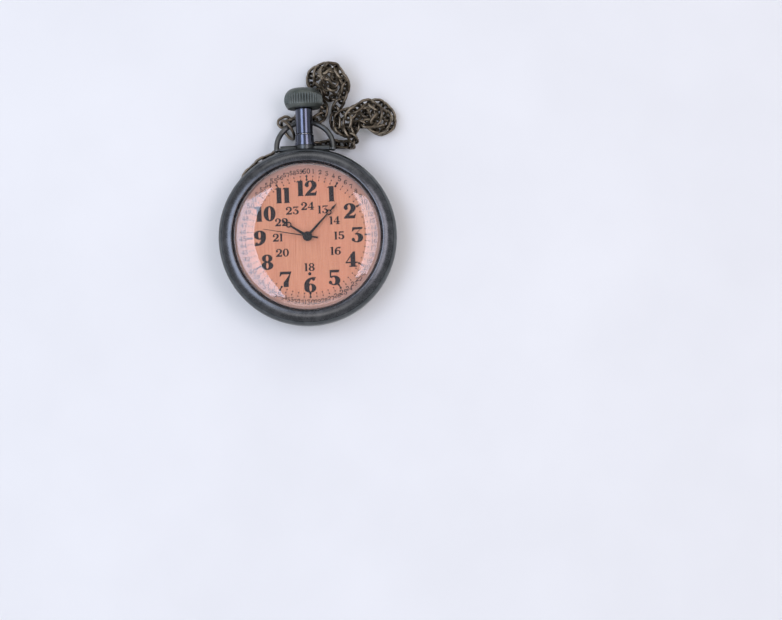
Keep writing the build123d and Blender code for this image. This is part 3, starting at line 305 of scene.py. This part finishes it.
def stage_paper(name):
    """The pale matt sweep that the watch lies on."""
    r = Recipe(name)
    mottle = r.noise(0.02, detail=3)
    base = r.mix(r.ramp(mottle, (0.3, 0.0), (0.7, 1.0)), (0.80, 0.80, 0.79), (0.84, 0.84, 0.83))
    r.shader(Base_Color=base, Roughness=0.85)
    return r.material


# The fourth colour of each worn metal is its near-black painted shade, with grime, in corners and crevices.
finishes = {
    "case_metal": worn_metal(
        "satin_gunmetal", (0.070, 0.076, 0.077), (0.12, 0.127, 0.125), (0.01, 0.01, 0.01), 0.36
    ),
    "bezel_metal": worn_metal(
        "bezel_gunmetal", (0.085, 0.088, 0.094), (0.13, 0.133, 0.14), (0.01, 0.01, 0.01), 0.27
    ),
    "crown_metal": worn_metal(
        "crown_gunmetal", (0.10, 0.115, 0.105), (0.17, 0.185, 0.17), (0.004, 0.004, 0.003), 0.46
    ),
    "neck_metal": polished_metal("blued_chrome", (0.09, 0.10, 0.135), (0.16, 0.17, 0.21), 0.12),
    "bow_metal": worn_metal(
        "bow_gunmetal", (0.10, 0.106, 0.103), (0.17, 0.17, 0.165), (0.015, 0.015, 0.015), 0.38
    ),
    "glass": clear_glass("clear_glass"),
    "gasket": moulded("black_gasket", (0.02, 0.02, 0.02), 0.6),
    "dial_face": brushed_dial("brushed_salmon_dial"),
    "dial_brass": bright_metal("dial_brass", (0.55, 0.38, 0.15), 0.35),
    "hand_black": printed_ink("hand_lacquer", (0.005, 0.005, 0.005)),
    "steel": bright_metal("works_steel", (0.52, 0.52, 0.53), 0.25),
    "inner_brass": bright_metal("works_brass", (0.60, 0.42, 0.16), 0.28),
    "holder": moulded("white_holder", (0.70, 0.70, 0.67), 0.55),
    "movement_plastic": moulded("black_plastic", (0.025, 0.025, 0.028), 0.45),
    "wheel_plastic": moulded("wheel_plastic", (0.72, 0.70, 0.62), 0.4),
    "board": circuit_lacquer("circuit_lacquer"),
    "copper": coil_wire("copper_wire"),
    "magnet": moulded("sintered_magnet", (0.09, 0.09, 0.10), 0.4),
    # The chain's near-black corner colour, spread over 1.1 mm, is painted shade in the gaps between its
    # links.
    "chain_bronze": worn_metal(
        "antique_bronze",
        (0.075, 0.058, 0.042),
        (0.31, 0.26, 0.19),
        (0.006, 0.005, 0.004),
        0.34,
        grain=0.02,
        reach=1.1,
    ),
}
for part in frame["record"]["subparts"]:
    data = nodes[part["node"]].data
    data.materials.clear()
    data.materials.append(finishes[part["material_slot"]])

print_ink = printed_ink("dial_ink", (0.010, 0.005, 0.006))

# ---------------------------------------------------------------- numerals

# A digit is drawn one unit high, from thick and thin strokes, as on a fat-face type.
DIGIT_W = 0.78
NARROW_W = 0.44
TURN_STEPS = 20


def arc(cx, cy, rx, ry, start, stop, steps=TURN_STEPS):
    """Points along an ellipse, in degrees counter-clockwise from +X."""
    angles = [math.radians(start + (stop - start) * i / steps) for i in range(steps + 1)]
    return [(cx + rx * math.cos(a), cy + ry * math.sin(a)) for a in angles]


def crescent(outer, inner, start, stop):
    """The band between two ellipses (cx, cy, rx, ry), over this range of angles."""
    return arc(*outer, start, stop) + arc(*inner, stop, start)


def ring(outer, inner):
    return [crescent(outer, inner, 0, 180), crescent(outer, inner, 180, 360)]


def bar(x0, y0, x1, y1):
    return [(x0, y0), (x1, y0), (x1, y1), (x0, y1)]


def disc(cx, cy, r):
    return arc(cx, cy, r, r, 0, 360)[:-1]


def draw_digit(digit, fat, thin):
    """Polygons of one digit, with its width. fat and thin are the stroke widths."""
    w = DIGIT_W
    half = w / 2
    if digit == 0:
        return ring((half, 0.5, half, 0.5), (half, 0.5, half - fat, 0.5 - thin)), w
    if digit == 1:
        mid = NARROW_W / 2
        stem = bar(mid - fat / 2, 0, mid + fat / 2, 1)
        flag = [(mid - fat / 2 - 0.13, 0.90), (mid, 0.90), (mid, 1), (mid - fat / 2 - 0.02, 1)]
        foot = bar(0.03, 0, NARROW_W - 0.03, 0.6 * thin)
        return [stem, flag, foot], NARROW_W
    if digit == 2:
        hollow = (half - 0.04, 0.70, half - fat + 0.02, 0.29 - thin)
        bowl = crescent((half, 0.69, half, 0.31), hollow, -35, 185)
        ball = disc(0.15, 0.68, 0.12)
        slope = [(w - 0.02, 0.60), (w - 0.10, 0.46), (0.30, 0.16), (0.0, 0.0), (0.0, 0.06)]
        slope += [(0.12, 0.22), (w - fat - 0.14, 0.43), (w - fat - 0.02, 0.62)]
        foot = [(0.0, 0.0), (w - 0.06, 0.0), (w, 0.30), (w - 0.05, 0.30)]
        foot += [(w - 0.13, 0.20), (0.26, 0.20), (0.08, 0.12)]
        return [bowl, ball, slope, foot], w
    if digit == 3:
        roof = [(0.10, 1.0), (w - 0.02, 1.0), (w - 0.06, 0.86), (0.22, 0.84), (0.10, 0.72), (0.05, 0.72)]
        slope = [(w - 0.02, 1.0), (0.36, 0.58), (0.28, 0.58), (w - 0.16, 0.90)]
        hollow = (half - 0.06, 0.30, half - fat + 0.04, 0.30 - thin)
        bowl = crescent((half, 0.31, half, 0.31), hollow, -160, 112)
        ball = disc(0.13, 0.20, 0.11)
        return [roof, slope, bowl, ball], w
    if digit == 4:
        right = w - 0.14
        stem = [(right - fat, 0), (right, 0), (right, 1), (right - 0.07, 1), (right - fat, 0.80)]
        slope = [(right - 0.05, 1), (0.08, 0.30), (0.0, 0.30), (right - 0.14, 1)]
        shelf = bar(0, 0.24, w, 0.24 + thin * 1.2)
        foot = bar(right - fat - 0.10, 0, right + 0.10, thin)
        return [stem, slope, shelf, foot], w
    if digit == 5:
        roof = [(0.10, 1.0), (w - 0.04, 1.0), (w - 0.10, 0.83), (0.10, 0.83)]
        post = bar(0.10, 0.50, 0.10 + thin * 1.3, 1.0)
        hollow = (half - 0.06, 0.31, half - fat + 0.04, 0.31 - thin)
        bowl = crescent((half, 0.32, half, 0.32), hollow, -160, 138)
        ball = disc(0.13, 0.20, 0.11)
        return [roof, post, bowl, ball], w
    if digit == 6:
        bowl = ring((half, 0.30, half, 0.30), (half + 0.02, 0.30, half - fat, 0.30 - thin))
        back = crescent((0.60, 0.46, 0.60, 0.54), (0.66, 0.44, 0.66 - fat, 0.56 - thin), 72, 200)
        ball = disc(w - 0.17, 0.86, 0.10)
        return [*bowl, back, ball], w
    if digit == 7:
        roof = [(0.0, 0.68), (0.05, 0.68), (0.14, 0.82), (w - 0.10, 0.82), (w, 1.0), (0.04, 1.0)]
        slope = [(w, 1.0), (w - 0.10, 0.70), (w - 0.20, 0.34), (w - 0.20, 0.0), (w - 0.22 - fat, 0.0)]
        slope += [(w - 0.22 - fat, 0.30), (w - 0.30, 0.58), (w - 0.12, 0.86)]
        return [roof, slope], w
    if digit == 8:
        top = ring((half, 0.74, half - 0.05, 0.26), (half, 0.74, half - 0.05 - fat * 0.82, 0.26 - thin))
        low = ring((half, 0.27, half, 0.27), (half, 0.27, half - fat, 0.27 - thin))
        return [*top, *low], w
    polygons, width = draw_digit(6, fat, thin)
    return [[(width - x, 1 - y) for x, y in polygon] for polygon in polygons], width


def draw_number(number, fat, thin, spacing):
    """Polygons of a number, one unit high, centred on the origin."""
    polygons = []
    reach = 0.0
    for letter in str(number):
        drawn, width = draw_digit(int(letter), fat, thin)
        polygons += [[(x + reach, y) for x, y in polygon] for polygon in drawn]
        reach += width + spacing
    middle = (reach - spacing) / 2
    return [[(x - middle, y - 0.5) for x, y in polygon] for polygon in polygons]


def counter_clockwise(polygon):
    area = sum(a[0] * b[1] - b[0] * a[1] for a, b in zip(polygon, polygon[1:] + polygon[:1]))
    return polygon if area > 0 else polygon[::-1]


def add_flat(mesh, polygons, height, at, widen=1.0):
    """Joins the polygons into one flat shape and adds it, height tall, at a point on the dial."""
    points = []
    faces = []
    for polygon in map(counter_clockwise, polygons):
        faces.append(list(range(len(points), len(points) + len(polygon))))
        points += [Vector(point) for point in polygon]
    made = delaunay_2d_cdt(points, [], faces, 0, 1e-5, True)
    corners, triangles, sources = made[0], made[2], made[5]
    placed = {}
    for triangle, source in zip(triangles, sources):
        if not source:
            continue
        for corner in triangle:
            if corner not in placed:
                x = at[0] + corners[corner].x * height * widen
                y = at[1] + corners[corner].y * height
                placed[corner] = mesh.verts.new((x, y, 0))
        mesh.faces.new([placed[corner] for corner in triangle])


def finish_print(mesh, name, lift=0.004, thickness=0.02):
    """Turns flat shapes into thin ink on the dial, riding with the case."""
    bmesh.ops.dissolve_limit(mesh, angle_limit=math.radians(1), verts=mesh.verts, edges=mesh.edges)
    bmesh.ops.recalc_face_normals(mesh, faces=mesh.faces)
    for face in mesh.faces:
        if face.normal.z < 0:
            face.normal_flip()
    raised = bmesh.ops.extrude_face_region(mesh, geom=list(mesh.faces))
    tops = [item for item in raised["geom"] if isinstance(item, bmesh.types.BMVert)]
    bmesh.ops.translate(mesh, verts=tops, vec=(0, 0, thickness * MM))
    bmesh.ops.translate(mesh, verts=mesh.verts, vec=(0, 0, dial_top + lift * MM))
    bmesh.ops.recalc_face_normals(mesh, faces=mesh.faces)
    data = bpy.data.meshes.new(name)
    mesh.to_mesh(data)
    mesh.free()
    data.materials.append(print_ink)
    piece = bpy.data.objects.new(name, data)
    bpy.context.collection.objects.link(piece)
    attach(piece, "case")
    return piece


# The print sits a touch off the hands' axis, as on the real dial.
print_x = 0.25 * MM
print_y = -0.05 * MM

# How far each printed ring lies from the middle, and how tall its marks are.
hour_ring = 13.05 * MM
hour_height = 4.15 * MM
inner_ring = 8.25 * MM
inner_height = 2.15 * MM
inner_dot_ring = 10.05 * MM
inner_dot = 0.9 * MM
minute_ring = 17.65 * MM
minute_height = 1.2 * MM
fifth_minute_height = 1.42 * MM
track_ring = 15.8 * MM
track_unit = 1.0 * MM
track_half = 0.48


def around(clockwise, radius):
    """A point on the dial at this many degrees clockwise from 12."""
    angle = math.radians(clockwise)
    return (print_x + radius * math.sin(angle), print_y + radius * math.cos(angle))


def hour_numerals():
    mesh = bmesh.new()
    for hour in range(1, 13):
        add_flat(mesh, draw_number(hour, 0.31, 0.08, 0.06), hour_height, around(30 * hour, hour_ring))
    return finish_print(mesh, "hour_numerals")


def inner_numerals():
    """The 24-hour ring, which leaves out 17 and 19 and marks 18 with a dot."""
    mesh = bmesh.new()
    for hour in (13, 14, 15, 16, 18, 20, 21, 22, 23, 24):
        add_flat(mesh, draw_number(hour, 0.24, 0.10, 0.07), inner_height, around(30 * hour, inner_ring))
    add_flat(mesh, [disc(0, 0, 0.5)], inner_dot, around(180, inner_dot_ring))
    return finish_print(mesh, "inner_numerals")


def minute_numerals():
    mesh = bmesh.new()
    for minute in range(1, 61):
        height = fifth_minute_height if minute % 5 == 0 else minute_height
        digits = draw_number(minute, 0.19, 0.14, 0.12)
        add_flat(mesh, digits, height, around(6 * minute, minute_ring), widen=0.86)
    return finish_print(mesh, "minute_numerals")


def minute_track():
    """Each minute is a radial pair of dots joined by a hairline, and each fifth a heavier one."""
    mesh = bmesh.new()
    for minute in range(60):
        heavy = minute % 5 == 0
        dot = 0.30 if heavy else 0.18
        line = 0.30 if heavy else 0.05
        along = math.radians(90 - 6 * minute)
        shape = [
            disc(-track_half, 0, dot),
            disc(track_half, 0, dot),
            bar(-track_half, -line / 2, track_half, line / 2),
        ]
        turned = [
            [
                (x * math.cos(along) - y * math.sin(along), x * math.sin(along) + y * math.cos(along))
                for x, y in polygon
            ]
            for polygon in shape
        ]
        add_flat(mesh, turned, track_unit, around(6 * minute, track_ring))
    return finish_print(mesh, "minute_track")


hour_numerals()
inner_numerals()
minute_numerals()
minute_track()

# ---------------------------------------------------------------- stage, light and camera


floor_gap = 0.02 * MM


def stage_floor():
    """A wide pale sheet just under the watch."""
    mesh = bmesh.new()
    bmesh.ops.create_grid(mesh, x_segments=8, y_segments=8, size=2.5)
    data = bpy.data.meshes.new("floor")
    mesh.to_mesh(data)
    mesh.free()
    data.materials.append(stage_paper("pale_paper"))
    floor = bpy.data.objects.new("floor", data)
    floor.location.z = -floor_gap
    bpy.context.collection.objects.link(floor)


def softbox(name, place, aim, size, strength, colour):
    """A soft light, size long along X and Y before it is tipped at aim; strength is in watts."""
    lamp = bpy.data.lights.new(name, "AREA")
    lamp.shape = "RECTANGLE"
    lamp.size = size[0]
    lamp.size_y = size[1]
    lamp.energy = strength
    lamp.color = colour
    box = bpy.data.objects.new(name, lamp)
    box.location = place
    back = (Vector(place) - Vector(aim)).normalized()
    across = Vector((0, 1, 0)).cross(back).normalized()
    box.rotation_mode = "QUATERNION"
    box.rotation_quaternion = Matrix((across, back.cross(across), back)).transposed().to_quaternion()
    bpy.context.collection.objects.link(box)


stage_floor()
middle = (0, 0, case_high.z)
softbox("left_window", (-0.33, 0.0, 0.66), middle, (0.34, 0.62), 2.6, (0.70, 0.78, 1.0))
softbox("right_window", (0.37, 0.06, 0.66), middle, (0.30, 0.50), 1.5, (0.94, 0.88, 1.0))
softbox("front_fill", (0.0, -0.42, 0.60), middle, (0.5, 0.22), 0.5, (1.0, 0.95, 0.92))
softbox("far_fill", (0.0, 0.75, 0.45), middle, (0.9, 0.3), 1.0, (1.0, 0.98, 0.95))

world = bpy.data.worlds.new("studio")
world.use_nodes = True
world.node_tree.nodes["Background"].inputs["Color"].default_value = (0.92, 0.94, 1.0, 1)
world.node_tree.nodes["Background"].inputs["Strength"].default_value = 0.47
bpy.context.scene.world = world

# The camera stands on the 6 o'clock side, high over the watch, which lies turned a little. The watch
# is up and to the left of the middle of the view.
view_width = 210.9 * MM
watch_left = 22.4 * MM
watch_up = 19.65 * MM
watch_turn = math.radians(2.1)
camera_elevation = math.radians(86.5)
camera_distance = 0.55
aim_height = 7.3 * MM
sensor = 36


def aim_camera():
    centre = Vector((0, 0, aim_height))
    right = Vector((math.cos(watch_turn), -math.sin(watch_turn), 0))
    forward = Vector((math.sin(watch_turn), math.cos(watch_turn), 0))
    back = -forward * math.cos(camera_elevation) + Vector((0, 0, math.sin(camera_elevation)))
    up = back.cross(right)
    aim = centre + right * watch_left - up * watch_up
    lens = bpy.data.cameras.new("camera")
    lens.sensor_width = sensor
    lens.lens = sensor * camera_distance / view_width
    lens.clip_start = 0.01
    lens.clip_end = 10
    camera = bpy.data.objects.new("camera", lens)
    camera.location = aim + back * camera_distance
    camera.rotation_mode = "QUATERNION"
    camera.rotation_quaternion = Matrix((right, up, back)).transposed().to_quaternion()
    bpy.context.collection.objects.link(camera)
    bpy.context.scene.camera = camera


aim_camera()
bpy.context.scene.view_settings.view_transform = "Standard"
